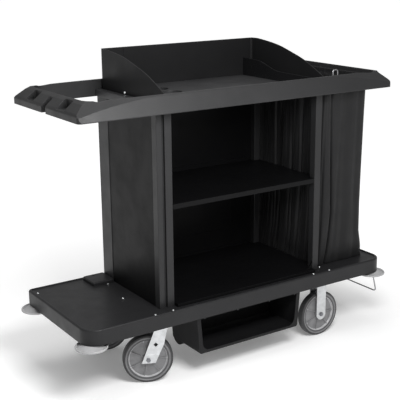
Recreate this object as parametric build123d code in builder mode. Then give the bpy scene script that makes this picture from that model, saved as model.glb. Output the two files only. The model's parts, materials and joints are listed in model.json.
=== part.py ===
from build123d import *

import math
import os

# Housekeeping cart: a moulded deck on casters, an open cabinet, a handle frame with a top tray, and a bag.
# Millimetres. X runs along the cart, Y from the front (-Y) to the back, Z up. The origin is on the floor,
# under the middle of the deck.

# Deck
DECK_LENGTH = 1470
DECK_WIDTH = 540
DECK_BOTTOM = 256
DECK_TOP = 318
DECK_CORNER = 62
DECK_BACK_CORNER = 20
DECK_RIM = 12
DECK_LIP = 4
DECK_WALL = 8
DECK_SKIN = 10
DECK_FLOOR = DECK_TOP - DECK_LIP
DECK_SCREWS = [
    (-714, 210),
    (-431, 142),
    (-457, -35),
    (-443, -262),
    (-364, -262),
    (336, -262),
    (422, -200),
    (423, -262),
]

# Wheels and casters
WHEEL_RADIUS = 100
TYRE_INNER = 87
TYRE_WIDTH = 34
HUB_WIDTH = 39
HUB_RIBS = 7
AXLE_RADIUS = 6
AXLE_FIT = 0.05
LEG_INNER = 21
LEG_THICK = 4
SWIVEL_X = -389
SWIVEL_Y = 181
RIGID_X = 424
RIGID_Y = 193
CASTER_PLACES = [(SWIVEL_X, SWIVEL_Y), (SWIVEL_X, -SWIVEL_Y), (RIGID_X, RIGID_Y), (RIGID_X, -RIGID_Y)]
TRAIL = 40
SWIVEL_TURN = -24
PLATE_SIZE = (112, 100)
PLATE_THICK = 4
BOLT_SPACING = (86, 76)
KINGPIN_RADIUS = 8

# Corner bumpers and the wire bail that their bolts hold
BUMPER_PLACES = {
    "front_left": (-700, -230),
    "front_right": (700, -230),
    "rear_left": (-714, 230),
    "rear_right": (714, 230),
}
BUMPER_RADIUS = 62
BUMPER_BOTTOM = 236
BUMPER_TOP = 255
BUMPER_BOLT = 6
WIRE_RADIUS = 3
BAIL_X = 738
BAIL_Z = 143

# Bin under the deck
BIN_X = 4
BIN_HALF_TOP = 260
BIN_HALF_BOTTOM = 248
BIN_FRONT = -262
BIN_BACK = -62
BIN_BOTTOM = 102
BIN_WALL = 4
BIN_STILE = 18
BIN_LIP = 11
GUTTER_RADIUS = 39

# Cabinet
CABINET_HALF = 396
CABINET_FRONT = -218
CABINET_BACK = 242
CABINET_TOP = 1104
POST_FACE = 31
SHELF_TOP = 722
SHELF_THICK = 19
FLOOR_TOP = 327
FLOOR_FRONT = -240
PANEL_BACK = 235
PANEL_THICK = 5
PANEL_FRONT = CABINET_FRONT + 34
PANEL_REAR = 158
BACK_LEFT = 44 - CABINET_HALF
BACK_RIGHT = 369

# Handle frame
FRAME_LEFT = -738
FRAME_RIGHT = 725
FRAME_DEPTH = 284
FRAME_BOTTOM = 1082
FRAME_TOP = 1149
FRAME_LIP = 21
RIM_HALF = 683
RIM_DEPTH = 256
RIM_WIDTH = 12
BEVEL_START = 1121
FRAME_WALL = 4
END_DROP = 9
END_CREST = 37
POCKET_Y = 133
POCKET_SIZE = 66
POCKET_BACK = RIM_HALF + 9
POCKET_FLOOR = 1111
NOTCH_WIDTH = 36

# Top tray, hood and divider
TRAY_HALF = 397
TRAY_DEPTH = 243.4
TRAY_TOP = 1110
TRAY_THICK = 6
CUP_RADIUS = 41
CUP_DEPTH = 25
CUP_X = -190
CUP_YS = (0, 104)
HOOD_LEFT = -375
HOOD_RIGHT = 381
HOOD_CORNER = 14
HOOD_BACK = 242
HOOD_TOP = 1271
HOOD_WALL = 4
DIVIDER_X = 329

# Bag
BAG_LEFT = 402
BAG_WALL = 4
# Height, right side, front and back of each section, from the foot to the mouth.
BAG_SECTIONS = [
    (DECK_FLOOR, 698, -190, 226),
    (440, 662, -202, 230),
    (700, 657, -212, 232),
    (1136, 650, -228, 236),
]
HOOK_WIRE = 2.2


def save(piece, label):
    """Label a finished piece and write it out."""
    piece.part.label = label
    export_step(piece.part, f"parts/{label}.step")


def turned(part, x, y, degrees):
    """The part moved to (x, y) and turned about the vertical."""
    return part.moved(Location((x, y, 0), (0, 0, degrees)))


# ---------------------------------------------------------------- deck


def make_deck():
    """Moulded tray: rounded skirt, shallow rim round the top, ribs, caster pads and bumper bosses below."""
    underside = DECK_FLOOR - DECK_SKIN
    levels = (
        (DECK_BOTTOM, DECK_TOP, 0, Mode.ADD),
        (DECK_FLOOR, DECK_TOP + 1, DECK_RIM, Mode.SUBTRACT),
        (DECK_BOTTOM, underside, DECK_WALL, Mode.SUBTRACT),
    )
    with BuildPart() as deck:
        for low, high, inset, mode in levels:
            with BuildSketch(Plane.XY.offset(low)) as outline:
                Rectangle(DECK_LENGTH - 2 * inset, DECK_WIDTH - 2 * inset)
                fillet(outline.vertices().sort_by(Axis.Y)[:2], DECK_CORNER - inset)
                fillet(outline.vertices().sort_by(Axis.Y)[-2:], DECK_BACK_CORNER - inset)
            extrude(amount=high - low, mode=mode)
        top_edges = deck.faces().sort_by(Axis.Z)[-1].outer_wire().edges()
        fillet(top_edges, 7)
        with BuildSketch(Plane.XY.offset(DECK_BOTTOM)):
            with Locations(*CASTER_PLACES):
                Rectangle(PLATE_SIZE[0] + 10, PLATE_SIZE[1] + 6)
            with Locations(*BUMPER_PLACES.values()):
                Circle(20)
            with GridLocations(0, 150, 1, 3):
                Rectangle(DECK_LENGTH - DECK_WALL, 5)
            with GridLocations(245, 0, 5, 1):
                Rectangle(5, DECK_WIDTH - DECK_WALL)
        extrude(amount=underside - DECK_BOTTOM + 1)
    save(deck, "deck")


def make_deck_screws():
    """Domed screws round the feet of the cabinet and at the deck's back corner."""
    with BuildPart() as screws:
        for x, y in DECK_SCREWS:
            on_rim = abs(y) > DECK_WIDTH / 2 - DECK_RIM
            with BuildSketch(Plane.XY.offset(DECK_TOP if on_rim else DECK_FLOOR)):
                with Locations((x, y)):
                    Circle(5)
            extrude(amount=3.5, taper=25)
    save(screws, "deck_screws")


def make_base_foot():
    """Raised pad on the deck beside the cabinet's back corner."""
    with BuildPart() as foot:
        with BuildSketch(Plane.XY.offset(DECK_FLOOR)):
            with Locations((-445, 200)):
                RectangleRounded(98, 100, 8)
        extrude(amount=15)
        chamfer(foot.faces().sort_by(Axis.Z)[-1].edges(), 4)
        with Locations((-450, 236, DECK_FLOOR + 15)):
            CounterBoreHole(3, 6, 4)
    save(foot, "base_foot")


# ---------------------------------------------------------------- bumpers and wire bail


def make_bumpers():
    """Domed disc bumpers with a raised rim that turn on shoulder bolts under the deck's corners."""
    bore = BUMPER_BOLT + AXLE_FIT
    for place, (x, y) in BUMPER_PLACES.items():
        with BuildPart() as bumper:
            with BuildSketch(Plane((x, y, 0), x_dir=(1, 0, 0), z_dir=(0, -1, 0))):
                with BuildLine():
                    Polyline(
                        (bore, BUMPER_TOP),
                        (bore, BUMPER_BOTTOM),
                        (54, BUMPER_BOTTOM),
                        (BUMPER_RADIUS, BUMPER_BOTTOM + 4),
                        (BUMPER_RADIUS, BUMPER_BOTTOM + 9),
                        (BUMPER_RADIUS - 2, BUMPER_BOTTOM + 11),
                        (BUMPER_RADIUS - 5, BUMPER_BOTTOM + 11),
                        (BUMPER_RADIUS - 8, BUMPER_BOTTOM + 7),
                    )
                    ThreePointArc(
                        (BUMPER_RADIUS - 8, BUMPER_BOTTOM + 7),
                        (40, BUMPER_TOP - 6),
                        (28, BUMPER_TOP),
                    )
                    Line((28, BUMPER_TOP), (bore, BUMPER_TOP))
                make_face()
            revolve(axis=Axis((x, y, 0), (0, 0, 1)))
        save(bumper, f"bumper_{place}")


def make_bumper_bolts():
    """Four shoulder bolts with hexagon heads under the bumpers."""
    head_top = BUMPER_BOTTOM - 2 * WIRE_RADIUS - 0.8
    with BuildPart() as bolts:
        with BuildSketch(Plane.XY.offset(head_top)):
            with Locations(*BUMPER_PLACES.values()):
                Circle(BUMPER_BOLT)
        extrude(amount=DECK_BOTTOM - head_top)
        with BuildSketch(Plane.XY.offset(head_top - 7)):
            with Locations(*BUMPER_PLACES.values()):
                RegularPolygon(10, 6)
        extrude(amount=7)
    save(bolts, "bumper_bolts")


def make_wire_bail():
    """Bent wire under the right end, with an eye round each bumper bolt."""
    eye_radius = BUMPER_BOLT + WIRE_RADIUS + 1.2
    eye_z = BUMPER_BOTTOM - WIRE_RADIUS - 0.4
    ends = [(x, y, eye_z) for x, y in (BUMPER_PLACES["front_right"], BUMPER_PLACES["rear_right"])]
    start, finish = [(x + eye_radius + 4, y, z) for x, y, z in ends]
    corners = [(BAIL_X, start[1] - 2, BAIL_Z), (BAIL_X, finish[1] + 2, BAIL_Z)]
    with BuildPart() as bail:
        with BuildLine() as route:
            FilletPolyline(start, *corners, finish, radius=18)
        with BuildSketch(Plane(origin=start, z_dir=route.line % 0)):
            Circle(WIRE_RADIUS)
        sweep(path=route.line)
        with Locations(*ends):
            Torus(eye_radius, WIRE_RADIUS)
    save(bail, "wire_bail")


# ---------------------------------------------------------------- wheels


def make_hub(label, x, y, turn):
    """One wheel centre: boss, dished web, ribs on both sides and the rim under the tyre."""
    bore = AXLE_RADIUS + AXLE_FIT
    with BuildPart() as flat:
        with BuildSketch(Plane.XY):
            with BuildLine():
                Polyline(
                    (bore, -HUB_WIDTH / 2),
                    (19, -HUB_WIDTH / 2),
                    (24, -8),
                    (75, -6),
                    (77, -13.5),
                    (82, -16),
                    (TYRE_INNER, -15),
                    (TYRE_INNER, 15),
                    (82, 16),
                    (77, 13.5),
                    (75, 6),
                    (24, 8),
                    (19, HUB_WIDTH / 2),
                    (bore, HUB_WIDTH / 2),
                    (bore, -HUB_WIDTH / 2),
                )
            make_face()
        revolve(axis=Axis.Y)
        with BuildSketch(Plane.XZ.offset(-12)):
            with PolarLocations(48, HUB_RIBS):
                Rectangle(60, 4)
        extrude(amount=24)
    with BuildPart() as hub:
        add(turned(flat.part.moved(Location((0, 0, WHEEL_RADIUS))), x, y, turn))
    save(hub, label)


def make_tyre(label, x, y, turn):
    """One tyre with rounded shoulders and a shallow groove on each side."""
    half = TYRE_WIDTH / 2
    with BuildPart() as flat:
        with BuildSketch(Plane.XY):
            with BuildLine():
                Polyline((WHEEL_RADIUS - 6, -half), (TYRE_INNER + 3, -half), (TYRE_INNER, -half + 2))
                Line((TYRE_INNER, -half + 2), (TYRE_INNER, half - 2))
                Polyline((TYRE_INNER, half - 2), (TYRE_INNER + 3, half), (WHEEL_RADIUS - 6, half))
                RadiusArc((WHEEL_RADIUS - 6, half), (WHEEL_RADIUS, half - 7), 7)
                Line((WHEEL_RADIUS, half - 7), (WHEEL_RADIUS, -half + 7))
                RadiusArc((WHEEL_RADIUS, -half + 7), (WHEEL_RADIUS - 6, -half), 7)
            make_face()
        revolve(axis=Axis.Y)
    with BuildPart() as tyre:
        add(turned(flat.part.moved(Location((0, 0, WHEEL_RADIUS))), x, y, turn))
    save(tyre, label)


def make_axle(label, x, y, turn):
    """Axle bolt: shank through both fork legs, hexagon head in front and nut behind."""
    outer = LEG_INNER + LEG_THICK
    with BuildPart() as flat:
        with BuildSketch(Plane.XZ.offset(outer)):
            RegularPolygon(9, 6)
        extrude(amount=5)
        with BuildSketch(Plane.XZ.offset(-outer - 6)):
            RegularPolygon(9, 6)
        extrude(amount=6)
        with BuildSketch(Plane.XZ.offset(-outer - 8)):
            Circle(AXLE_RADIUS)
        extrude(amount=2 * outer + 9)
    with BuildPart() as axle:
        add(turned(flat.part.moved(Location((0, 0, WHEEL_RADIUS))), x, y, turn))
    save(axle, label)


# ---------------------------------------------------------------- casters


def make_swivel_plate(label, y):
    """Top plate with its fixed race and the kingpin and nut that carry the fork."""
    plate_bottom = DECK_BOTTOM - PLATE_THICK
    race_bottom = plate_bottom - 5
    nut_top = 226
    centre = (SWIVEL_X, y)
    with BuildPart() as plate:
        with BuildSketch(Plane.XY.offset(plate_bottom)):
            with Locations(centre):
                RectangleRounded(*PLATE_SIZE, 6)
                with GridLocations(*BOLT_SPACING, 2, 2):
                    Circle(5.2, mode=Mode.SUBTRACT)
        extrude(amount=PLATE_THICK)
        with BuildSketch(Plane.XY.offset(race_bottom)):
            with Locations(centre):
                Circle(34)
        extrude(amount=plate_bottom - race_bottom)
        with BuildSketch(Plane.XY.offset(nut_top)):
            with Locations(centre):
                Circle(KINGPIN_RADIUS)
        extrude(amount=race_bottom - nut_top)
        with BuildSketch(Plane.XY.offset(nut_top - 9)):
            with Locations(centre):
                RegularPolygon(13, 6)
        extrude(amount=9)
    save(plate, label)


def make_swivel_fork(label, y):
    """Turning fork: race, crown and two raked legs pressed in above the axle, each with a square hole."""
    crown_bottom = 227
    joggle = 122
    leg = [(-67, 86), (-12, 86), (-2, 109), (23, 163), (37, crown_bottom + 4), (-11, crown_bottom + 4)]
    with BuildPart() as flat:
        with BuildSketch(Plane.XY.offset(crown_bottom)):
            Rectangle(76, 2 * (LEG_INNER + LEG_THICK))
        extrude(amount=5)
        with BuildSketch(Plane.XY.offset(crown_bottom + 5)):
            Circle(38)
        extrude(amount=246.6 - crown_bottom - 5, taper=12)
        for side in (LEG_INNER, -LEG_INNER - LEG_THICK):
            with BuildSketch(Plane.XZ.offset(side)):
                with BuildLine():
                    Polyline(*leg, close=True)
                make_face()
                with Locations((-TRAIL, WHEEL_RADIUS)):
                    Circle(AXLE_RADIUS + AXLE_FIT, mode=Mode.SUBTRACT)
                with Locations((-10, 163)):
                    Rectangle(13, 13, rotation=45, mode=Mode.SUBTRACT)
            extrude(amount=LEG_THICK)
        for side in (-1, 1):
            with BuildSketch(Plane.XY.offset(joggle)):
                with Locations((0, side * (LEG_INNER + LEG_THICK))):
                    Rectangle(90, 2.4)
            extrude(amount=crown_bottom - joggle - 3, mode=Mode.SUBTRACT)
        with BuildSketch(Plane.XY.offset(crown_bottom - 1)):
            Circle(KINGPIN_RADIUS + AXLE_FIT)
        extrude(amount=30, mode=Mode.SUBTRACT)
    with BuildPart() as fork:
        add(turned(flat.part, SWIVEL_X, y, SWIVEL_TURN))
    save(fork, label)


def make_rigid_fork(label, y):
    """Fixed fork: a plate with two straight round-ended legs."""
    half = 25
    plate_bottom = DECK_BOTTOM - PLATE_THICK
    with BuildPart() as fork:
        with BuildSketch(Plane.XY.offset(plate_bottom)):
            with Locations((RIGID_X, y)):
                RectangleRounded(*PLATE_SIZE, 6)
                with GridLocations(*BOLT_SPACING, 2, 2):
                    Circle(5.2, mode=Mode.SUBTRACT)
        extrude(amount=PLATE_THICK)
        for side in (LEG_INNER, -LEG_INNER - LEG_THICK):
            with BuildSketch(Plane((RIGID_X, y - side, 0), x_dir=(1, 0, 0), z_dir=(0, -1, 0))):
                with Locations((0, (WHEEL_RADIUS + plate_bottom) / 2)):
                    Rectangle(2 * half, plate_bottom - WHEEL_RADIUS)
                with Locations((0, WHEEL_RADIUS)):
                    Circle(half)
                    Circle(AXLE_RADIUS + AXLE_FIT, mode=Mode.SUBTRACT)
            extrude(amount=LEG_THICK)
        with BuildSketch(Plane.XY.offset(plate_bottom - 5)):
            with Locations((RIGID_X, y)):
                Rectangle(2 * half, 2 * (LEG_INNER + LEG_THICK))
        extrude(amount=5)
    save(fork, label)


def make_caster_bolts():
    """Hexagon bolts that hold the four caster plates up against the deck."""
    heads = DECK_BOTTOM - PLATE_THICK - 5
    with BuildPart() as bolts:
        for centre in CASTER_PLACES:
            with BuildSketch(Plane.XY.offset(heads)):
                with Locations(centre):
                    with GridLocations(*BOLT_SPACING, 2, 2):
                        RegularPolygon(8, 6)
            extrude(amount=5)
            with BuildSketch(Plane.XY.offset(heads + 5)):
                with Locations(centre):
                    with GridLocations(*BOLT_SPACING, 2, 2):
                        Circle(5)
            extrude(amount=PLATE_THICK)
    save(bolts, "caster_bolts")


# ---------------------------------------------------------------- under-deck bin


def bin_outline(inset):
    """Corners of the bin's front outline, which is narrower at the bottom."""
    top = DECK_BOTTOM - inset
    bottom = BIN_BOTTOM + inset
    return [
        (BIN_X - BIN_HALF_TOP + inset, top),
        (BIN_X + BIN_HALF_TOP - inset, top),
        (BIN_X + BIN_HALF_BOTTOM - inset, bottom),
        (BIN_X - BIN_HALF_BOTTOM + inset, bottom),
    ]


def make_bin():
    """Open-fronted bin under the deck, with front stiles, a bottom lip and a rounded gutter at the back."""
    depth = BIN_BACK - BIN_FRONT
    front = Plane((0, BIN_FRONT, 0), x_dir=(1, 0, 0), z_dir=(0, -1, 0))
    gutter = (BIN_BACK - GUTTER_RADIUS, BIN_BOTTOM + 24)
    gutter_end = Plane((BIN_X - BIN_HALF_BOTTOM, 0, 0), x_dir=(0, 1, 0), z_dir=(1, 0, 0))
    with BuildPart() as tub:
        with BuildSketch(front):
            with BuildLine():
                Polyline(*bin_outline(0), close=True)
            make_face()
        extrude(amount=-depth)
        fillet(tub.edges().filter_by(Axis.Y).sort_by(Axis.Z)[:2], 10)
        with BuildSketch(gutter_end):
            with Locations(gutter):
                Circle(GUTTER_RADIUS)
        extrude(amount=2 * BIN_HALF_BOTTOM)
        with BuildSketch(front.offset(-BIN_WALL)):
            with BuildLine():
                Polyline(*bin_outline(BIN_WALL), close=True)
            make_face()
        extrude(amount=2 * BIN_WALL - depth, mode=Mode.SUBTRACT)
        with BuildSketch(gutter_end.offset(BIN_WALL)):
            with Locations(gutter):
                Circle(GUTTER_RADIUS - BIN_WALL)
        extrude(amount=2 * (BIN_HALF_BOTTOM - BIN_WALL), mode=Mode.SUBTRACT)
        with BuildSketch(front.offset(1)) as mouth:
            with BuildLine():
                Polyline(
                    (BIN_X - BIN_HALF_TOP + BIN_STILE, DECK_BOTTOM - 6),
                    (BIN_X + BIN_HALF_TOP - BIN_STILE, DECK_BOTTOM - 6),
                    (BIN_X + BIN_HALF_BOTTOM - BIN_STILE, BIN_BOTTOM + BIN_LIP),
                    (BIN_X - BIN_HALF_BOTTOM + BIN_STILE, BIN_BOTTOM + BIN_LIP),
                    close=True,
                )
            make_face()
            fillet(mouth.vertices().sort_by(Axis.Y)[:2], 32)
        extrude(amount=-BIN_WALL - 2, mode=Mode.SUBTRACT)
    save(tub, "under_deck_bin")


def make_bin_bolts():
    """Small hexagon heads along the top of the bin's front and sides."""
    with BuildPart() as bolts:
        for x in (-220, -60, 100, 232):
            with BuildSketch(Plane((x, BIN_FRONT, 251), x_dir=(1, 0, 0), z_dir=(0, -1, 0))):
                RegularPolygon(3.5, 6)
            extrude(amount=2.5)
    save(bolts, "bin_bolts")


# ---------------------------------------------------------------- cabinet


def column(label, outline, bottom, top, rounding=0):
    """An upright of constant section; rounding eases its long edges."""
    with BuildPart() as post:
        with BuildSketch(Plane.XY.offset(bottom)):
            with BuildLine():
                Polyline(*outline, close=True)
            make_face()
        extrude(amount=top - bottom)
        if rounding:
            fillet(post.edges().filter_by(Axis.Z), rounding)
    save(post, label)


def make_posts():
    """Four corner posts of the cabinet; the front left one has a groove down its face."""
    left = -CABINET_HALF
    front = CABINET_FRONT
    groove = front + 11
    face = left + 35
    grooved = [
        (left, front),
        (left + 22, front),
        (left + 22, groove),
        (face, groove),
        (face, front),
        (face + POST_FACE, front),
        (face + POST_FACE, PANEL_FRONT),
        (left, PANEL_FRONT),
    ]
    angle = [
        (left, PANEL_REAR),
        (left + 8, PANEL_REAR),
        (left + 8, CABINET_BACK - 8),
        (BACK_LEFT, CABINET_BACK - 8),
        (BACK_LEFT, CABINET_BACK),
        (left, CABINET_BACK),
    ]
    front_right = [(367, front), (399, front), (399, PANEL_FRONT), (367, PANEL_FRONT)]
    rear_right = [(BACK_RIGHT, 202), (399, 202), (399, CABINET_BACK), (BACK_RIGHT, CABINET_BACK)]
    column("post_front_left", grooved, DECK_FLOOR, CABINET_TOP, 2)
    column("post_front_right", front_right, DECK_FLOOR, CABINET_TOP, 3)
    column("post_rear_left", angle, DECK_FLOOR, CABINET_TOP, 2)
    column("post_rear_right", rear_right, DECK_FLOOR, CABINET_TOP, 3)


def make_panels():
    """Left side panel between its posts, and the back panel with a shallow grooved outline."""
    height = CABINET_TOP - DECK_FLOOR
    with BuildPart() as side_panel:
        with BuildSketch(Plane.YZ.offset(2 - CABINET_HALF)):
            with Locations(((PANEL_FRONT + PANEL_REAR) / 2, DECK_FLOOR + height / 2)):
                Rectangle(PANEL_REAR - PANEL_FRONT, height)
        extrude(amount=PANEL_THICK)
    save(side_panel, "side_panel")

    with BuildPart() as back_panel:
        with BuildSketch(Plane.XZ.offset(-PANEL_BACK)):
            with Locations(((BACK_LEFT + BACK_RIGHT) / 2, (FLOOR_TOP + CABINET_TOP) / 2)):
                Rectangle(BACK_RIGHT - BACK_LEFT, CABINET_TOP - FLOOR_TOP)
        extrude(amount=PANEL_THICK)
        with BuildSketch(Plane.XZ.offset(-PANEL_BACK + PANEL_THICK)):
            with Locations((-44, 560)):
                Rectangle(600, 282)
                Rectangle(596, 278, mode=Mode.SUBTRACT)
        extrude(amount=-1.2, mode=Mode.SUBTRACT)
    save(back_panel, "back_panel")


def board_outline(front_left, front, back):
    """Corners of a board that runs between the posts and past the cabinet's open right side."""
    inner_left = 10 - CABINET_HALF
    behind_post = PANEL_FRONT + 2
    corners = [
        (front_left, front),
        (365, front),
        (365, behind_post),
        (398, behind_post),
        (398, 200),
        (367, 200),
        (367, back),
        (BACK_LEFT + 2, back),
        (BACK_LEFT + 2, PANEL_BACK - PANEL_THICK),
        (inner_left, PANEL_BACK - PANEL_THICK),
        (inner_left, behind_post),
        (front_left, behind_post),
    ]
    return [corner for index, corner in enumerate(corners) if corner != corners[index - 1]]


def make_board(label, outline, bottom, top, upstand):
    """A board with a thin upstand along its back edge."""
    back = PANEL_BACK - PANEL_THICK
    with BuildPart() as board:
        with BuildSketch(Plane.XY.offset(bottom)):
            with BuildLine():
                Polyline(*outline, close=True)
            make_face()
        extrude(amount=top - bottom)
        with BuildSketch(Plane.XY.offset(top)):
            with Locations(((BACK_LEFT + BACK_RIGHT) / 2, back - 3)):
                Rectangle(BACK_RIGHT - BACK_LEFT - 10, 5)
        extrude(amount=upstand)
        if label == "cabinet_floor":
            # The front opening's lower right corner is rounded against the post.
            with BuildSketch(Plane.XZ.offset(-CABINET_FRONT)):
                with BuildLine():
                    Line((333, top), (365, top))
                    Line((365, top), (365, top + 32))
                    RadiusArc((365, top + 32), (333, top), 32)
                make_face()
            extrude(amount=-8)
    save(board, label)


def make_shelf_clips():
    """Four small blocks under the shelf's corners."""
    left = 22 - CABINET_HALF
    clip_top = SHELF_TOP - SHELF_THICK
    with BuildPart() as clips:
        with BuildSketch(Plane.XY.offset(clip_top - 12)):
            with Locations((left, PANEL_FRONT + 10), (382, PANEL_FRONT + 8), (left, 188), (382, 190)):
                Rectangle(18, 12)
        extrude(amount=12)
    save(clips, "shelf_clips")


# ---------------------------------------------------------------- handle frame


def make_handle_frame():
    """Moulded ring: sloped faces, ends that fall to a lip, pockets and a notch in each end, hollow below."""
    height = FRAME_TOP - FRAME_BOTTOM
    length = FRAME_RIGHT - FRAME_LEFT
    inner_depth = RIM_DEPTH - RIM_WIDTH
    ends = ((-1, -FRAME_LEFT), (1, FRAME_RIGHT))
    with BuildPart() as ring:
        with BuildSketch(Plane.XY.offset(FRAME_BOTTOM)):
            with Locations(((FRAME_LEFT + FRAME_RIGHT) / 2, 0)):
                RectangleRounded(length, 2 * FRAME_DEPTH, 16)
        extrude(amount=height)
        # Faces of the long rails lean back from the bottom edge to the rim.
        for side in (-1, 1):
            with BuildSketch(Plane.YZ.offset(FRAME_LEFT - 1)):
                with BuildLine():
                    Polyline(
                        (side * FRAME_DEPTH, FRAME_BOTTOM + 3),
                        (side * (FRAME_DEPTH + 20), FRAME_BOTTOM + 3),
                        (side * (FRAME_DEPTH + 20), FRAME_TOP + 20),
                        (side * RIM_DEPTH, FRAME_TOP + 20),
                        (side * RIM_DEPTH, FRAME_TOP - 1),
                        (side * (RIM_DEPTH + 3), FRAME_TOP - 6),
                        close=True,
                    )
                make_face()
            extrude(amount=length + 2, mode=Mode.SUBTRACT)
        # The ends fall from the crest to the outer lip.
        for side, end in ends:
            with BuildSketch(Plane.XZ.offset(-FRAME_DEPTH - 1)):
                lip = FRAME_BOTTOM + FRAME_LIP
                with BuildLine():
                    ThreePointArc(
                        (side * end, lip),
                        (side * (end - 3), lip + 8),
                        (side * (end - 9), lip + 14),
                    )
                    Polyline(
                        (side * (end - 9), lip + 14),
                        (side * (end - END_CREST), FRAME_TOP - END_DROP),
                        (side * RIM_HALF, FRAME_TOP),
                        (side * RIM_HALF, FRAME_TOP + 20),
                        (side * (end + 20), FRAME_TOP + 20),
                        (side * (end + 20), lip),
                        (side * end, lip),
                    )
                make_face()
            extrude(amount=2 * FRAME_DEPTH + 2, mode=Mode.SUBTRACT)
        # A bevel at 45 degrees widens along the rails towards each corner.
        for sx, end in ends:
            for sy in (-1, 1):
                with BuildSketch(Plane((0, sy * FRAME_DEPTH, 0), x_dir=(1, 0, 0), z_dir=(0, -1, 0))):
                    with BuildLine():
                        ThreePointArc(
                            (sx * (end - 385), BEVEL_START),
                            (sx * (end - 180), BEVEL_START - 9),
                            (sx * (end + 20), BEVEL_START - 30),
                        )
                        Polyline(
                            (sx * (end + 20), BEVEL_START - 30),
                            (sx * (end + 20), BEVEL_START + 60),
                            (sx * (end - 385), BEVEL_START + 60),
                            (sx * (end - 385), BEVEL_START),
                        )
                    make_face()
                extrude(amount=100, dir=(0, -sy, 1), mode=Mode.SUBTRACT)
        # Opening inside the ring.
        with BuildSketch(Plane.XY.offset(FRAME_BOTTOM)):
            RectangleRounded(2 * RIM_HALF, 2 * inner_depth, 50)
        extrude(amount=height, mode=Mode.SUBTRACT)
        # Hollow underside of the long rails.
        for side in (-1, 1):
            inner = inner_depth + FRAME_WALL
            with BuildSketch(Plane.YZ.offset(-RIM_HALF + 60)):
                with BuildLine():
                    Polyline(
                        (side * inner, FRAME_BOTTOM),
                        (side * (FRAME_DEPTH - FRAME_WALL), FRAME_BOTTOM),
                        (side * (RIM_DEPTH - 2), FRAME_TOP - 14),
                        (side * inner, FRAME_TOP - 14),
                        close=True,
                    )
                make_face()
            extrude(amount=2 * (RIM_HALF - 60), mode=Mode.SUBTRACT)
        for side, end in ends:
            # Hollow underside of the end, two tool pockets and a notch.
            with BuildSketch(Plane.XY.offset(FRAME_BOTTOM)):
                with Locations((side * (RIM_HALF + end) / 2, 0)):
                    with GridLocations(0, 240, 1, 2):
                        Rectangle(end - RIM_HALF - 2 * FRAME_WALL, 180)
            extrude(amount=POCKET_FLOOR - FRAME_BOTTOM - 8, mode=Mode.SUBTRACT)
            with BuildSketch(Plane.XY.offset(POCKET_FLOOR)):
                with Locations(
                    (side * (POCKET_BACK + 50), -POCKET_Y),
                    (side * (POCKET_BACK + 50), POCKET_Y),
                ):
                    RectangleRounded(100, POCKET_SIZE, 9)
            extrude(amount=height, mode=Mode.SUBTRACT)
            with BuildSketch(Plane.XY.offset(FRAME_BOTTOM)):
                with Locations((side * (end + 6), 0)):
                    RectangleRounded(2 * (END_CREST + 6), NOTCH_WIDTH, 12)
            extrude(amount=height, mode=Mode.SUBTRACT)
    save(ring, "handle_frame")


# ---------------------------------------------------------------- top tray, hood, divider


def make_top_tray():
    """Plate that closes the ring above the cabinet, with two round cup recesses and short end skirts."""
    plate_bottom = TRAY_TOP - TRAY_THICK
    with BuildPart() as tray:
        with BuildSketch(Plane.XY.offset(plate_bottom)):
            Rectangle(2 * TRAY_HALF + 10, 2 * TRAY_DEPTH)
        extrude(amount=TRAY_THICK)
        with BuildSketch(Plane.XY.offset(plate_bottom - 20)):
            for side in (-1, 1):
                with Locations((side * (TRAY_HALF + 3.5), 0)):
                    Rectangle(3, 2 * TRAY_DEPTH)
        extrude(amount=20)
        with BuildSketch(Plane.XY.offset(TRAY_TOP - CUP_DEPTH - 3)):
            for y in CUP_YS:
                with Locations((CUP_X, y)):
                    Circle(CUP_RADIUS + 3)
        extrude(amount=CUP_DEPTH + 3)
        with BuildSketch(Plane.XY.offset(TRAY_TOP - CUP_DEPTH)):
            for y in CUP_YS:
                with Locations((CUP_X, y)):
                    Circle(CUP_RADIUS)
        extrude(amount=CUP_DEPTH + 1, mode=Mode.SUBTRACT)
    save(tray, "top_tray")


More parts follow.
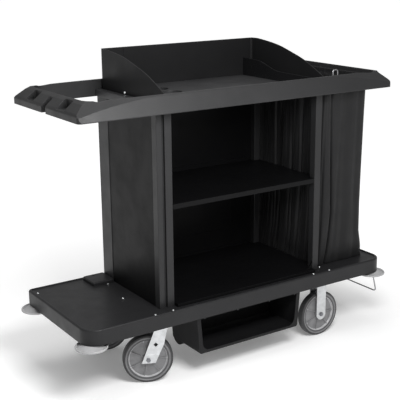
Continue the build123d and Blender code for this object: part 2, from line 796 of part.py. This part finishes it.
def make_hood():
    """Back wall with two swept wings, standing on the tray inside the ring."""
    front = -HOOD_BACK
    bend = HOOD_BACK - HOOD_CORNER
    outer = HOOD_CORNER
    inner = HOOD_CORNER - HOOD_WALL
    with BuildPart() as hood:
        with BuildSketch(Plane.XY.offset(TRAY_TOP)):
            with BuildLine():
                Line((HOOD_LEFT, front), (HOOD_LEFT, bend))
                RadiusArc((HOOD_LEFT, bend), (HOOD_LEFT + outer, HOOD_BACK), outer)
                Line((HOOD_LEFT + outer, HOOD_BACK), (HOOD_RIGHT - outer, HOOD_BACK))
                RadiusArc((HOOD_RIGHT - outer, HOOD_BACK), (HOOD_RIGHT, bend), outer)
                Polyline((HOOD_RIGHT, bend), (HOOD_RIGHT, front), (HOOD_RIGHT - HOOD_WALL, front))
                Line((HOOD_RIGHT - HOOD_WALL, front), (HOOD_RIGHT - HOOD_WALL, bend))
                RadiusArc(
                    (HOOD_RIGHT - HOOD_WALL, bend),
                    (HOOD_RIGHT - outer, HOOD_BACK - HOOD_WALL),
                    -inner,
                )
                Line((HOOD_RIGHT - outer, HOOD_BACK - HOOD_WALL), (HOOD_LEFT + outer, HOOD_BACK - HOOD_WALL))
                RadiusArc((HOOD_LEFT + outer, HOOD_BACK - HOOD_WALL), (HOOD_LEFT + HOOD_WALL, bend), -inner)
                Polyline((HOOD_LEFT + HOOD_WALL, bend), (HOOD_LEFT + HOOD_WALL, front), (HOOD_LEFT, front))
            make_face()
        extrude(amount=HOOD_TOP - TRAY_TOP)
        # The wings sweep down to the rim in a long curve.
        with BuildSketch(Plane.YZ.offset(HOOD_LEFT - 1)):
            with BuildLine():
                Spline(
                    (-262, 1140),
                    (-198, 1171),
                    (-100, 1212),
                    (-34, 1231),
                    (38, 1250),
                    (120, 1263),
                    (200, 1271),
                )
                Polyline((200, 1271), (200, 1300), (-262, 1300), (-262, 1140))
            make_face()
        extrude(amount=HOOD_RIGHT - HOOD_LEFT + 2, mode=Mode.SUBTRACT)
        with BuildSketch(Plane.XZ.offset(-HOOD_BACK + HOOD_WALL)):
            with Locations((-272, 1200)):
                Rectangle(4, 170)
        extrude(amount=-2, mode=Mode.SUBTRACT)
    save(hood, "hood")


def make_divider():
    """Thin upright plate beside the right wing, stepped down towards the front."""
    with BuildPart() as divider:
        with BuildSketch(Plane.YZ.offset(DIVIDER_X)):
            with BuildLine():
                Polyline((-240, TRAY_TOP), (237, TRAY_TOP), (237, 1187), (150, 1185))
                Spline(
                    (150, 1185),
                    (90, 1176),
                    (20, 1155),
                    (-60, 1149),
                    tangents=[(-1, 0), (-1, 0)],
                )
                Line((-60, 1149), (-240, 1147))
                Line((-240, 1147), (-240, TRAY_TOP))
            make_face()
        extrude(amount=3)
    save(divider, "tray_divider")


def make_wing_screws():
    """Round-headed screws that hold the hood's wings."""
    with BuildPart() as screws:
        for side, face in ((-1, HOOD_LEFT), (1, HOOD_RIGHT)):
            with BuildSketch(Plane.YZ.offset(face)):
                with Locations((48, 1117)):
                    Circle(6)
            extrude(amount=side * 3, taper=20)
    save(screws, "wing_screws")


# ---------------------------------------------------------------- bag


def make_bag():
    """Open-topped bag that hangs in the ring's right opening and stands on the deck."""
    foot = BAG_SECTIONS[0][0]
    with BuildPart() as bag:
        for inset, mode in ((0, Mode.ADD), (BAG_WALL, Mode.SUBTRACT)):
            for height, right, front, back in BAG_SECTIONS:
                raised = inset if height == foot else 0
                with BuildSketch(Plane.XY.offset(height + raised)):
                    with Locations(((BAG_LEFT + right) / 2, (front + back) / 2)):
                        RectangleRounded(right - BAG_LEFT - 2 * inset, back - front - 2 * inset, 30 - inset)
            loft(ruled=True, mode=mode)
    save(bag, "bag")


def make_bag_hooks():
    """Wire hoops at the front and back rims that hold the bag's hem."""
    with BuildPart() as hooks:
        for side in (-1, 1):
            y = side * (RIM_DEPTH - RIM_WIDTH - HOOK_WIRE)
            with BuildLine() as hoop:
                FilletPolyline((430, y, 1126), (430, y, 1171), (455, y, 1171), (455, y, 1126), radius=9)
            with BuildSketch(Plane(origin=(430, y, 1126), z_dir=(0, 0, 1))):
                Circle(HOOK_WIRE)
            sweep(path=hoop.line)
    save(hooks, "bag_hooks")


os.makedirs("parts", exist_ok=True)
make_deck()
make_deck_screws()
make_base_foot()
make_bumpers()
make_bumper_bolts()
make_wire_bail()

turn = math.radians(SWIVEL_TURN)
WHEELS = [
    ("front_left", SWIVEL_X - TRAIL * math.cos(turn), -SWIVEL_Y - TRAIL * math.sin(turn), SWIVEL_TURN),
    ("rear_left", SWIVEL_X - TRAIL * math.cos(turn), SWIVEL_Y - TRAIL * math.sin(turn), SWIVEL_TURN),
    ("front_right", RIGID_X, -RIGID_Y, 0),
    ("rear_right", RIGID_X, RIGID_Y, 0),
]
for place, wheel_x, wheel_y, wheel_turn in WHEELS:
    make_hub(f"hub_{place}", wheel_x, wheel_y, wheel_turn)
    make_tyre(f"tyre_{place}", wheel_x, wheel_y, wheel_turn)
    make_axle(f"axle_{place}", wheel_x, wheel_y, wheel_turn)
for place, side in (("front", -1), ("rear", 1)):
    make_swivel_plate(f"swivel_plate_{place}", side * SWIVEL_Y)
    make_swivel_fork(f"swivel_fork_{place}", side * SWIVEL_Y)
    make_rigid_fork(f"rigid_fork_{place}", side * RIGID_Y)
make_caster_bolts()
make_bin()
make_bin_bolts()
make_posts()
make_panels()
make_board("cabinet_floor", board_outline(-328, FLOOR_FRONT, PANEL_BACK), DECK_FLOOR, FLOOR_TOP, 7)
make_board(
    "shelf",
    board_outline(-329, CABINET_FRONT, PANEL_BACK - PANEL_THICK),
    SHELF_TOP - SHELF_THICK,
    SHELF_TOP,
    16,
)
make_shelf_clips()
make_handle_frame()
make_top_tray()
make_hood()
make_divider()
make_wing_screws()
make_bag()
make_bag_hooks()
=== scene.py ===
import json
import math

import bpy
from mathutils import Matrix, Vector, noise


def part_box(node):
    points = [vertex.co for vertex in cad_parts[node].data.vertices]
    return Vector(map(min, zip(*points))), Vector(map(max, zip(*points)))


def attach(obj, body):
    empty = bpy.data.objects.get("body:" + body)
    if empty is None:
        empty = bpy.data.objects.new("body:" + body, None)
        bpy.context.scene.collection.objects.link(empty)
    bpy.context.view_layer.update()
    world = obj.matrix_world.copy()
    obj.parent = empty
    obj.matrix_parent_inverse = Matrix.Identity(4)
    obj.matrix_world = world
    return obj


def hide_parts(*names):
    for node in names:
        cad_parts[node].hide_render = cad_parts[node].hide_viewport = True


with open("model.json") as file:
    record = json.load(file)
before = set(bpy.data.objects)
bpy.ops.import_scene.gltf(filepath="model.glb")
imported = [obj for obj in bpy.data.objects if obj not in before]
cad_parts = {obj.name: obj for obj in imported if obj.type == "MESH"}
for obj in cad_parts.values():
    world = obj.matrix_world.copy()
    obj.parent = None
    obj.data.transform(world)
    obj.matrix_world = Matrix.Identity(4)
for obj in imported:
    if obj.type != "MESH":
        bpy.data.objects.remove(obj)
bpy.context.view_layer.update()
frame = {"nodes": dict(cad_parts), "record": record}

# Housekeeping cart. Metres, in the row frame: X along the cart, -Y its front, Z up.

NODES = frame["nodes"]
COLLECTION = bpy.context.scene.collection


# ---------------------------------------------------------------- camera, lights, floor

CAMERA_AZIMUTH = math.radians(-33.44)
CAMERA_ELEVATION = math.radians(15.42)
CAMERA_ROLL = math.radians(-0.55)
CAMERA_TARGET = Vector((-0.0633, 0, 0.6487))
CAMERA_DISTANCE = 3.7455
CAMERA_LENS = 81.47
CAMERA_SENSOR = 36

WORLD_STRENGTH = 0.42
# Name, place, target, size and watts of each soft light.
LIGHTS = [
    ("top", (-0.2, 0.35, 3.5), (0, 0, 0.4), (2.6, 2.2), 46),
    ("front", (0.3, -3.0, 2.6), (-0.35, 0, 0.75), (1.5, 1.2), 17),
    ("near", (-0.42, -1.45, 1.72), (-0.3, -0.2, 0.9), (0.8, 0.6), 34),
]

FLOOR_REACH = 70
FLOOR_COLOR = (0.93, 0.93, 0.93)
# The floor's glow rises from the first strength to the second between these distances.
FLOOR_GLOW_DISTANCES = (0.85, 2.4)
FLOOR_GLOW_STRENGTHS = (0.15, 0.62)


def make_camera():
    """Camera at the photograph's viewing angle."""
    data = bpy.data.cameras.new("camera")
    data.lens = CAMERA_LENS
    data.sensor_width = CAMERA_SENSOR
    data.clip_end = 100
    camera = bpy.data.objects.new("camera", data)
    COLLECTION.objects.link(camera)
    a, e = CAMERA_AZIMUTH, CAMERA_ELEVATION
    back = Vector((math.sin(a) * math.cos(e), -math.cos(a) * math.cos(e), math.sin(e)))
    level = Vector((math.cos(a), math.sin(a), 0))
    right = level * math.cos(CAMERA_ROLL) + back.cross(level) * math.sin(CAMERA_ROLL)
    matrix = Matrix((right, back.cross(right), back)).transposed().to_4x4()
    matrix.translation = CAMERA_TARGET + back * CAMERA_DISTANCE
    camera.matrix_world = matrix
    bpy.context.scene.camera = camera


def area_light(name, place, target, size, watts):
    """Soft rectangular light at place, aimed at target."""
    data = bpy.data.lights.new(name, "AREA")
    data.shape = "RECTANGLE"
    data.size, data.size_y = size
    data.energy = watts
    light = bpy.data.objects.new(name, data)
    COLLECTION.objects.link(light)
    light.location = place
    aim = Vector(target) - Vector(place)
    light.rotation_euler = aim.to_track_quat("-Z", "Y").to_euler()


def make_floor():
    """Pale floor that glows a little away from the cart, where the lights don't reach."""
    r = FLOOR_REACH
    mesh = bpy.data.meshes.new("floor")
    mesh.from_pydata([(-r, -r, 0), (r, -r, 0), (r, r, 0), (-r, r, 0)], [], [(0, 1, 2, 3)])
    floor = bpy.data.objects.new("floor", mesh)
    COLLECTION.objects.link(floor)
    n = Nodes("floor_paper")
    distance = n.add("ShaderNodeVectorMath", operation="LENGTH")
    n.link(n.position(), distance.inputs[0])
    glow = n.between(distance.outputs["Value"], *FLOOR_GLOW_DISTANCES, *FLOOR_GLOW_STRENGTHS)
    n.link(glow, n.surface.inputs["Emission Strength"])
    n.set("Base Color", (*FLOOR_COLOR, 1))
    n.set("Roughness", 0.8)
    n.set("Specular IOR Level", 0.1)
    n.set("Emission Color", (1, 1, 1, 1))
    mesh.materials.append(n.material)


def make_studio():
    """Plain surroundings, three soft lights and a pale floor."""
    bpy.context.scene.view_settings.view_transform = "Standard"
    world = bpy.data.worlds.new("studio")
    bpy.context.scene.world = world
    world.use_nodes = True
    background = world.node_tree.nodes["Background"]
    background.inputs["Color"].default_value = (1, 1, 1, 1)
    background.inputs["Strength"].default_value = WORLD_STRENGTH
    for light in LIGHTS:
        area_light(*light)
    make_floor()


# ---------------------------------------------------------------- materials


class Nodes:
    """A short way to add and link shader nodes in one material."""

    def __init__(self, name):
        self.material = bpy.data.materials.new(name)
        self.material.use_nodes = True
        self.tree = self.material.node_tree
        self.surface = self.tree.nodes["Principled BSDF"]

    def add(self, kind, **values):
        """New node; each value is a property of the node or one of its inputs."""
        node = self.tree.nodes.new(kind)
        for key, value in values.items():
            if hasattr(node, key):
                setattr(node, key, value)
            else:
                node.inputs[key].default_value = value
        return node

    def link(self, source, target):
        self.tree.links.new(source, target)

    def set(self, socket, value):
        """Constant on one of the surface's own sockets."""
        self.surface.inputs[socket].default_value = value

    def math(self, operation, first, second):
        """Arithmetic on two values, each a socket or a number."""
        node = self.add("ShaderNodeMath", operation=operation)
        for socket, value in zip(node.inputs, (first, second)):
            if isinstance(value, (int, float)):
                socket.default_value = value
            else:
                self.link(value, socket)
        return node.outputs[0]

    def position(self):
        """Place on the object, in its own space."""
        return self.add("ShaderNodeTexCoord").outputs["Object"]

    def noise(self, scale, detail, roughness, stretch=None):
        """Noise over the object's own space; stretch scales its three axes."""
        texture = self.add("ShaderNodeTexNoise", Scale=scale, Detail=detail, Roughness=roughness)
        place = self.position()
        if stretch:
            mapping = self.add("ShaderNodeMapping")
            mapping.inputs["Scale"].default_value = stretch
            self.link(place, mapping.inputs["Vector"])
            place = mapping.outputs["Vector"]
        self.link(place, texture.inputs["Vector"])
        return texture.outputs["Fac"]

    def between(self, value, low, high, to_low=0.0, to_high=1.0):
        """Value rescaled from low..high to to_low..to_high, and held at the ends."""
        node = self.add("ShaderNodeMapRange")
        limits = {"From Min": low, "From Max": high, "To Min": to_low, "To Max": to_high}
        for socket, limit in limits.items():
            node.inputs[socket].default_value = limit
        self.link(value, node.inputs["Value"])
        return node.outputs["Result"]

    def mix(self, factor, first, second):
        """Blend of two colours, each a socket or a tuple; factor is a socket or a number."""
        node = self.add("ShaderNodeMix", data_type="RGBA")
        if isinstance(factor, (int, float)):
            node.inputs[0].default_value = factor
        else:
            self.link(factor, node.inputs[0])
        for socket, value in ((node.inputs[6], first), (node.inputs[7], second)):
            if isinstance(value, tuple):
                socket.default_value = (*value, 1)
            else:
                self.link(value, socket)
        return node.outputs[2]

    def rounded(self, radius):
        """Normal that softens the edges, and a mask that is 1 along them."""
        bevel = self.add("ShaderNodeBevel", samples=4, Radius=radius)
        plain = self.add("ShaderNodeNewGeometry").outputs["Normal"]
        dot = self.add("ShaderNodeVectorMath", operation="DOT_PRODUCT")
        self.link(bevel.outputs["Normal"], dot.inputs[0])
        self.link(plain, dot.inputs[1])
        mask = self.between(dot.outputs["Value"], 0.995, 0.8)
        return bevel.outputs["Normal"], mask

    def bump(self, height, distance, strength, normal=None):
        """Bump of this height in metres, on top of another normal where there is one."""
        node = self.add("ShaderNodeBump", Strength=strength, Distance=distance)
        self.link(height, node.inputs["Height"])
        if normal is not None:
            self.link(normal, node.inputs["Normal"])
        return node.outputs["Normal"]


def scaled(color, factor):
    """Colour made brighter or darker by a factor."""
    return tuple(min(1.0, channel * factor) for channel in color)


def moulded_plastic(name, color, roughness, grain, edge, radius, specular):
    """Moulded plastic: fine spark texture, faint blotches, a patchy painted highlight along the
    edges, a little dust.
    """
    n = Nodes(name)
    normal, edges = n.rounded(radius)
    blotches = n.between(n.noise(3.2, 5, 0.6), 0.3, 0.7)
    shade = n.mix(blotches, scaled(color, 0.86), scaled(color, 1.14))
    specks = n.between(n.noise(420, 2, 0.5), 0.42, 0.72, 0, 0.35)
    shade = n.mix(specks, shade, scaled(color, 1.5))
    # Painted highlight: the edges are made lighter, in patches, to stand for light caught along
    # them.
    painted_edge_highlight = n.math("MULTIPLY", edges, n.between(n.noise(38, 4, 0.6), 0.32, 0.66, 0.25, 0.8))
    shade = n.mix(painted_edge_highlight, shade, scaled(color, edge))
    n.link(shade, n.surface.inputs["Base Color"])
    rough = n.between(n.noise(11, 5, 0.6), 0.3, 0.7, roughness - 0.07, roughness + 0.08)
    n.link(rough, n.surface.inputs["Roughness"])
    n.set("Specular IOR Level", specular)
    n.link(n.bump(n.noise(1100, 3, 0.6), grain, 1.0, normal), n.surface.inputs["Normal"])
    return n.material


def zinc_steel(name, color, roughness):
    """Zinc-plated steel: soft spangle, fine brush marks and dull patches."""
    n = Nodes(name)
    normal, edges = n.rounded(0.0008)
    spangle = n.add("ShaderNodeTexVoronoi", Scale=95)
    n.link(n.position(), spangle.inputs["Vector"])
    tone = n.add("ShaderNodeSeparateColor")
    n.link(spangle.outputs["Color"], tone.inputs[0])
    shade = n.mix(n.between(tone.outputs[0], 0, 1, 0.0, 0.45), color, scaled(color, 0.8))
    dull = n.between(n.noise(22, 5, 0.65), 0.45, 0.75, 0, 0.4)
    shade = n.mix(dull, shade, scaled(color, 0.55))
    # Painted highlight: the edges are made lighter.
    shade = n.mix(n.math("MULTIPLY", edges, 0.5), shade, scaled(color, 1.2))
    n.link(shade, n.surface.inputs["Base Color"])
    n.set("Metallic", 1.0)
    rough = n.between(n.noise(30, 4, 0.6), 0.3, 0.7, roughness - 0.08, roughness + 0.12)
    n.link(rough, n.surface.inputs["Roughness"])
    brushed = n.noise(240, 3, 0.6, (1, 1, 0.08))
    n.link(n.bump(brushed, 0.00004, 1.0, normal), n.surface.inputs["Normal"])
    return n.material


def cloth(name, color):
    """Coated nylon: plain weave, soft sheen and faint creases."""
    n = Nodes(name)
    uv = n.add("ShaderNodeTexCoord").outputs["UV"]
    threads = []
    for direction in ("X", "Y"):
        wave = n.add(
            "ShaderNodeTexWave", wave_type="BANDS", bands_direction=direction, Scale=330
        )
        n.link(uv, wave.inputs["Vector"])
        threads.append(wave.outputs["Fac"])
    weave = n.math("MAXIMUM", *threads)
    blotches = n.between(n.noise(2.4, 4, 0.6), 0.3, 0.7)
    shade = n.mix(blotches, scaled(color, 0.8), scaled(color, 1.2))
    shade = n.mix(n.between(weave, 0.2, 0.9, 0.3, 0), shade, scaled(color, 0.5))
    dust = n.between(n.noise(60, 5, 0.7), 0.52, 0.8, 0, 0.25)
    shade = n.mix(dust, shade, scaled(color, 1.9))
    n.link(shade, n.surface.inputs["Base Color"])
    rough = n.between(n.noise(14, 4, 0.6), 0.3, 0.7, 0.5, 0.66)
    n.link(rough, n.surface.inputs["Roughness"])
    n.set("Sheen Weight", 0.04)
    n.set("Sheen Roughness", 0.45)
    n.set("Specular IOR Level", 0.22)
    crease = n.bump(n.noise(26, 5, 0.6, (1, 1, 0.35)), 0.0016, 0.5)
    n.link(n.bump(weave, 0.00012, 0.8, crease), n.surface.inputs["Normal"])
    return n.material


def rubber(name, color, roughness, dust):
    """Rubber or soft plastic with scuffs and dust."""
    n = Nodes(name)
    normal, edges = n.rounded(0.0012)
    blotches = n.between(n.noise(9, 5, 0.6), 0.3, 0.7)
    shade = n.mix(blotches, scaled(color, 0.88), scaled(color, 1.12))
    scuff = n.between(n.noise(70, 4, 0.7, (1, 1, 0.4)), 0.55, 0.75, 0, dust)
    shade = n.mix(scuff, shade, scaled(color, 0.6))
    # Painted highlight: the edges are made lighter.
    shade = n.mix(n.math("MULTIPLY", edges, 0.3), shade, scaled(color, 1.35))
    n.link(shade, n.surface.inputs["Base Color"])
    rough = n.between(n.noise(24, 4, 0.6), 0.3, 0.7, roughness - 0.06, roughness + 0.1)
    n.link(rough, n.surface.inputs["Roughness"])
    n.link(n.bump(n.noise(600, 3, 0.6), 0.0001, 1.0, normal), n.surface.inputs["Normal"])
    return n.material


# Colour of each band on a wheel, after the radius in metres where the band starts.
BAND_EDGE = 0.0006
TYRE_BANDS = [
    (0, (0.16, 0.16, 0.165)),
    (0.0905, (0.018, 0.018, 0.019)),
    (0.0965, (0.032, 0.032, 0.034)),
]
HUB_BANDS = [
    (0, (0.13, 0.13, 0.135)),
    (0.0245, (0.18, 0.18, 0.185)),
    (0.0735, (0.5, 0.5, 0.51)),
    (0.0775, (0.06, 0.06, 0.063)),
    (0.0845, (0.18, 0.18, 0.185)),
]
TYRE_ROUGHNESS = 0.5
HUB_ROUGHNESS = 0.42
# The swivel casters at the left stand turned by this much.
SWIVEL_TURN = math.radians(-24)


def wheel_material(name, centre, axis, bands, roughness):
    """Bands of colour at set distances from the wheel's axis, with grime and a painted highlight
    along the edges.
    """
    n = Nodes(name)
    normal, edges = n.rounded(0.0009)
    offset = n.add("ShaderNodeVectorMath", operation="SUBTRACT")
    n.link(n.position(), offset.inputs[0])
    offset.inputs[1].default_value = centre
    across = n.add("ShaderNodeVectorMath", operation="CROSS_PRODUCT")
    n.link(offset.outputs["Vector"], across.inputs[0])
    across.inputs[1].default_value = axis
    radius = n.add("ShaderNodeVectorMath", operation="LENGTH")
    n.link(across.outputs["Vector"], radius.inputs[0])
    shade = bands[0][1]
    for start, color in bands[1:]:
        inside = n.between(radius.outputs["Value"], start - BAND_EDGE, start + BAND_EDGE)
        shade = n.mix(inside, shade, color)
    grime = n.between(n.noise(34, 5, 0.65), 0.42, 0.72, 0, 0.35)
    shade = n.mix(grime, shade, (0.05, 0.05, 0.05))
    # Painted highlight: the edges are made lighter.
    shade = n.mix(n.math("MULTIPLY", edges, 0.3), shade, (0.6, 0.6, 0.6))
    n.link(shade, n.surface.inputs["Base Color"])
    rough = n.between(n.noise(40, 4, 0.6), 0.3, 0.7, roughness - 0.06, roughness + 0.1)
    n.link(rough, n.surface.inputs["Roughness"])
    n.link(n.bump(n.noise(500, 3, 0.6), 0.0001, 1.0, normal), n.surface.inputs["Normal"])
    return n.material


def paint(obj, material):
    """Give every material slot of obj this material."""
    if not obj.material_slots:
        obj.data.materials.append(material)
    for place in obj.material_slots:
        place.material = material


# Moulded plastic of each material slot: colour, roughness, grain height, brightness of the painted
# edge highlight, edge radius and specular level.
PLASTICS = {
    "deck_plastic": ((0.014, 0.014, 0.0148), 0.4, 0.00008, 1.7, 0.0016, 0.2),
    "bin_plastic": ((0.008, 0.008, 0.0085), 0.46, 0.00008, 1.7, 0.0016, 0.15),
    "post_plastic": ((0.0165, 0.0165, 0.0172), 0.42, 0.00008, 1.7, 0.0016, 0.24),
    "panel_plastic": ((0.0038, 0.0038, 0.0041), 0.42, 0.00004, 1.7, 0.0016, 0.09),
    "frame_plastic": ((0.0165, 0.0165, 0.0171), 0.44, 0.0001, 2.6, 0.0024, 0.25),
    "tray_plastic": ((0.024, 0.024, 0.025), 0.42, 0.00008, 1.7, 0.0016, 0.3),
    "hood_plastic": ((0.009, 0.009, 0.0094), 0.42, 0.00005, 4.0, 0.0016, 0.09),
    "divider": ((0.007, 0.007, 0.0076), 0.3, 0.00002, 5.0, 0.0016, 0.2),
}
# Steel: colour and roughness.
STEELS = {
    "zinc_steel": ((0.6, 0.61, 0.62), 0.36),
    "wire": ((0.35, 0.35, 0.36), 0.3),
    "bolt": ((0.2, 0.205, 0.22), 0.38),
    "dark_bolt": ((0.05, 0.05, 0.052), 0.45),
}
BUMPER_COLOR = (0.36, 0.36, 0.365)
BUMPER_ROUGHNESS = 0.5
BUMPER_DUST = 0.3


def make_looks():
    """Material of each slot, and of the bolts."""
    looks = {}
    for slot, values in PLASTICS.items():
        looks[slot] = moulded_plastic(f"{slot.removesuffix('_plastic')}_look", *values)
    looks["bumper"] = rubber("bumper_look", BUMPER_COLOR, BUMPER_ROUGHNESS, BUMPER_DUST)
    for slot, values in STEELS.items():
        looks[slot] = zinc_steel(f"{slot.removesuffix('_steel')}_look", *values)
    return looks


def paint_wheel_piece(name, obj):
    """Bands of colour on a hub or a tyre, round its own axis."""
    low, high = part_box(name)
    centre = tuple((a + b) / 2 for a, b in zip(low, high))
    turn = SWIVEL_TURN if name.endswith("left") else 0.0
    axis = (-math.sin(turn), math.cos(turn), 0)
    if name.startswith("tyre_"):
        bands, roughness = TYRE_BANDS, TYRE_ROUGHNESS
    else:
        bands, roughness = HUB_BANDS, HUB_ROUGHNESS
    paint(obj, wheel_material(f"{name}_look", centre, axis, bands, roughness))


def paint_cad():
    """Better materials on every CAD node that stays in sight."""
    looks = make_looks()
    slots = {piece["node"]: piece["material_slot"] for piece in frame["record"]["subparts"]}
    for name, obj in NODES.items():
        if name.startswith(("hub_", "tyre_")):
            paint_wheel_piece(name, obj)
        elif name.startswith("axle_") or name in ("caster_bolts", "bumper_bolts"):
            paint(obj, looks["bolt"])
        elif name == "bin_bolts":
            paint(obj, looks["dark_bolt"])
        elif slots[name] in looks:
            paint(obj, looks[slots[name]])


# ---------------------------------------------------------------- bag

BAG_LEFT = 0.402
# Height, right side, front and back of each section, from the foot to the mouth.
BAG_SECTIONS = [
    (0.3155, 0.697, -0.189, 0.226),
    (0.36, 0.686, -0.196, 0.227),
    (0.44, 0.664, -0.203, 0.23),
    (0.56, 0.658, -0.208, 0.231),
    (0.70, 0.656, -0.212, 0.232),
    (1.1355, 0.650, -0.228, 0.236),
]
BAG_FOOT = BAG_SECTIONS[0][0]
BAG_MOUTH = BAG_SECTIONS[-1][0]
BAG_CORNER = 0.03
# The back left corner is tight, to clear the cabinet's back post.
BAG_POST_CORNER = 0.008
BAG_COLOR = (0.007, 0.007, 0.0074)
CLOTH_THICKNESS = 0.0011
HEM = 0.024
AROUND = 460
LEVELS = 150
FOOT_RINGS = 14
# Folds down the front: depth, half width, and the line's X at some heights.
FRONT_FOLDS = [
    (
        0.024,
        0.0052,
        [(0.315, 0.462), (0.35, 0.464), (0.55, 0.477), (0.73, 0.466), (0.99, 0.450), (1.14, 0.447)],
    ),
    (0.014, 0.010, [(0.315, 0.416), (0.6, 0.420), (1.14, 0.411)]),
    (0.0045, 0.018, [(0.315, 0.546), (0.7, 0.536), (1.14, 0.528)]),
    (0.0035, 0.016, [(0.315, 0.628), (0.7, 0.600), (1.14, 0.594)]),
    (0.003, 0.010, [(0.315, 0.500), (0.8, 0.505), (1.14, 0.512)]),
]


def along(table, z):
    """Straight-line reading of a table of (z, value, ...) rows at height z."""
    for low, high in zip(table, table[1:]):
        if z <= high[0]:
            break
    share = min(1.0, max(0.0, (z - low[0]) / (high[0] - low[0])))
    return [a + (b - a) * share for a, b in zip(low[1:], high[1:])]


def unit(angle):
    """Unit vector in plan at this angle from X."""
    return Vector((math.cos(angle), math.sin(angle)))


def bag_outline(z):
    """Girth of the bag at height z, after its points from the front left corner along the front.

    Each point comes with its outward normal and its share of the way round.
    """
    right, front, back = along(BAG_SECTIONS, z)
    r, tight = BAG_CORNER, BAG_POST_CORNER
    corners = [
        (right - r, front + r, -90, r),
        (right - r, back - r, 0, r),
        (BAG_LEFT + tight, back - tight, 90, tight),
        (BAG_LEFT + r, front + r, 180, r),
    ]
    # A straight is (start, end, normal); a corner is (centre, radius, start angle).
    runs = []
    for index, (cx, cy, degrees, radius) in enumerate(corners):
        before_x, before_y, _, before_radius = corners[index - 1]
        start = math.radians(degrees)
        normal = unit(start)
        first = Vector((before_x, before_y)) + normal * before_radius
        last = Vector((cx, cy)) + normal * radius
        runs.append(("straight", (last - first).length, (first, last, normal)))
        runs.append(("corner", math.pi / 2 * radius, (Vector((cx, cy)), radius, start)))
    girth = sum(length for _, length, _ in runs)
    points = []
    for step in range(AROUND):
        left = girth * step / AROUND
        for kind, length, shape in runs:
            if left <= length:
                break
            left -= length
        if kind == "straight":
            first, last, normal = shape
            point = first.lerp(last, left / length)
        else:
            centre, radius, start = shape
            normal = unit(start + left / length * math.pi / 2)
            point = centre + normal * radius
        points.append((point, normal, step / AROUND))
    return points, girth


def fold_depth(point, normal, share, z):
    """How far the cloth lies inside its outline at this place."""
    up = (z - BAG_FOOT) / (BAG_MOUTH - BAG_FOOT)
    facing_front = max(0.0, -normal.y) ** 2
    facing_back = max(0.0, normal.y) ** 2
    facing_right = max(0.0, normal.x) ** 2
    facing_left = max(0.0, -normal.x) ** 2
    depth = 0.0
    for amount, width, line in FRONT_FOLDS:
        gap = point.x - along(line, z)[0]
        fade = 0.8 + 0.2 * math.sin(5 * up + 40 * width)
        depth += facing_front * amount * math.exp(-((gap / width) ** 2)) * fade
    # Gathers on the other sides wander a little as they go down.
    ring = unit(share * 2 * math.pi) * 4.2
    wave = noise.noise(Vector((ring.x * 0.9, ring.y * 0.9, z * 0.9)))
    crest = noise.noise(Vector((ring.x * 1.7 + 9, ring.y * 1.7, z * 0.8)))
    fine = noise.noise(Vector((ring.x * 4.2 + 4, ring.y * 4.2, z * 1.3)))
    gathers = 0.006 * (0.5 + wave)
    gathers += 0.010 * (1 - abs(crest)) ** 7
    gathers += 0.0025 * (1 - abs(fine)) ** 6
    # Near the cabinet's back post the cloth is pulled up against it.
    slack_left = min(1.0, max(0.15, (0.19 - point.y) / 0.10))
    depth += facing_left * gathers * slack_left * 1.3
    depth += facing_right * gathers * 0.7
    depth += facing_back * gathers * 0.6
    depth += facing_front * 0.0022 * (0.6 + wave + 0.3 * fine)
    # Slack gathers just above the foot.
    slack = math.exp(-(((z - 0.345) / 0.03) ** 2))
    pile = noise.noise(Vector((ring.x * 1.6, ring.y * 1.6, z * 14)))
    depth += slack * (0.002 + 0.006 * pile) * (1 - 0.7 * facing_front)
    return max(-0.002, depth)


def bag_wall():
    """Vertices, faces and cloth coordinates of the bag's four sides, from the foot up."""
    vertices, faces, coordinates = [], [], []
    for level in range(LEVELS + 1):
        z = BAG_FOOT + (BAG_MOUTH - BAG_FOOT) * level / LEVELS
        points, girth = bag_outline(z)
        for point, normal, share in points:
            depth = fold_depth(point, normal, share, z)
            if z > BAG_MOUTH - HEM:
                depth = 0.55 * depth - 0.0012
            spot = point - normal * depth
            vertices.append((spot.x, spot.y, z))
            coordinates.append((share * girth, z))
    for level in range(LEVELS):
        for step in range(AROUND):
            a = level * AROUND + step
            b = level * AROUND + (step + 1) % AROUND
            faces.append((a, b, b + AROUND, a + AROUND))
    return vertices, faces, coordinates


def close_foot(vertices, faces, coordinates):
    """Rings across the foot of the bag that close towards the middle."""
    _, right, front, back = BAG_SECTIONS[0]
    centre = Vector(((BAG_LEFT + right) / 2, (front + back) / 2, 0))
    edge = [Vector(vertices[step]) for step in range(AROUND)]
    previous = list(range(AROUND))
    for ring in range(1, FOOT_RINGS):
        share = 1 - ring / FOOT_RINGS
        start = len(vertices)
        for step in range(AROUND):
            spot = centre + (edge[step] - centre) * share
            bump = 0.0015 * (1 + noise.noise(Vector((spot.x * 22, spot.y * 22, 3))))
            vertices.append((spot.x, spot.y, BAG_FOOT + bump * min(1, ring / 3)))
            coordinates.append((spot.x, spot.y))
        current = list(range(start, start + AROUND))
        for step in range(AROUND):
            after = (step + 1) % AROUND
            faces.append((previous[after], previous[step], current[step], current[after]))
        previous = current
    faces.append(tuple(reversed(previous)))


def make_bag():
    """Bag of coated cloth: long folds, gathers, slack above the foot, a hem, a closed foot."""
    vertices, faces, coordinates = bag_wall()
    close_foot(vertices, faces, coordinates)
    mesh = bpy.data.meshes.new("bag_cloth")
    mesh.from_pydata(vertices, [], faces)
    layer = mesh.uv_layers.new(name="UVMap")
    for loop in mesh.loops:
        layer.data[loop.index].uv = coordinates[loop.vertex_index]
    for face in mesh.polygons:
        face.use_smooth = True
    mesh.update()
    bag = bpy.data.objects.new("bag_cloth", mesh)
    COLLECTION.objects.link(bag)
    thick = bag.modifiers.new("cloth", "SOLIDIFY")
    thick.thickness = CLOTH_THICKNESS
    thick.offset = -1
    paint(bag, cloth("bag_look", BAG_COLOR))
    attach(bag, "cart")
    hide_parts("bag")


make_camera()
make_studio()
paint_cad()
make_bag()
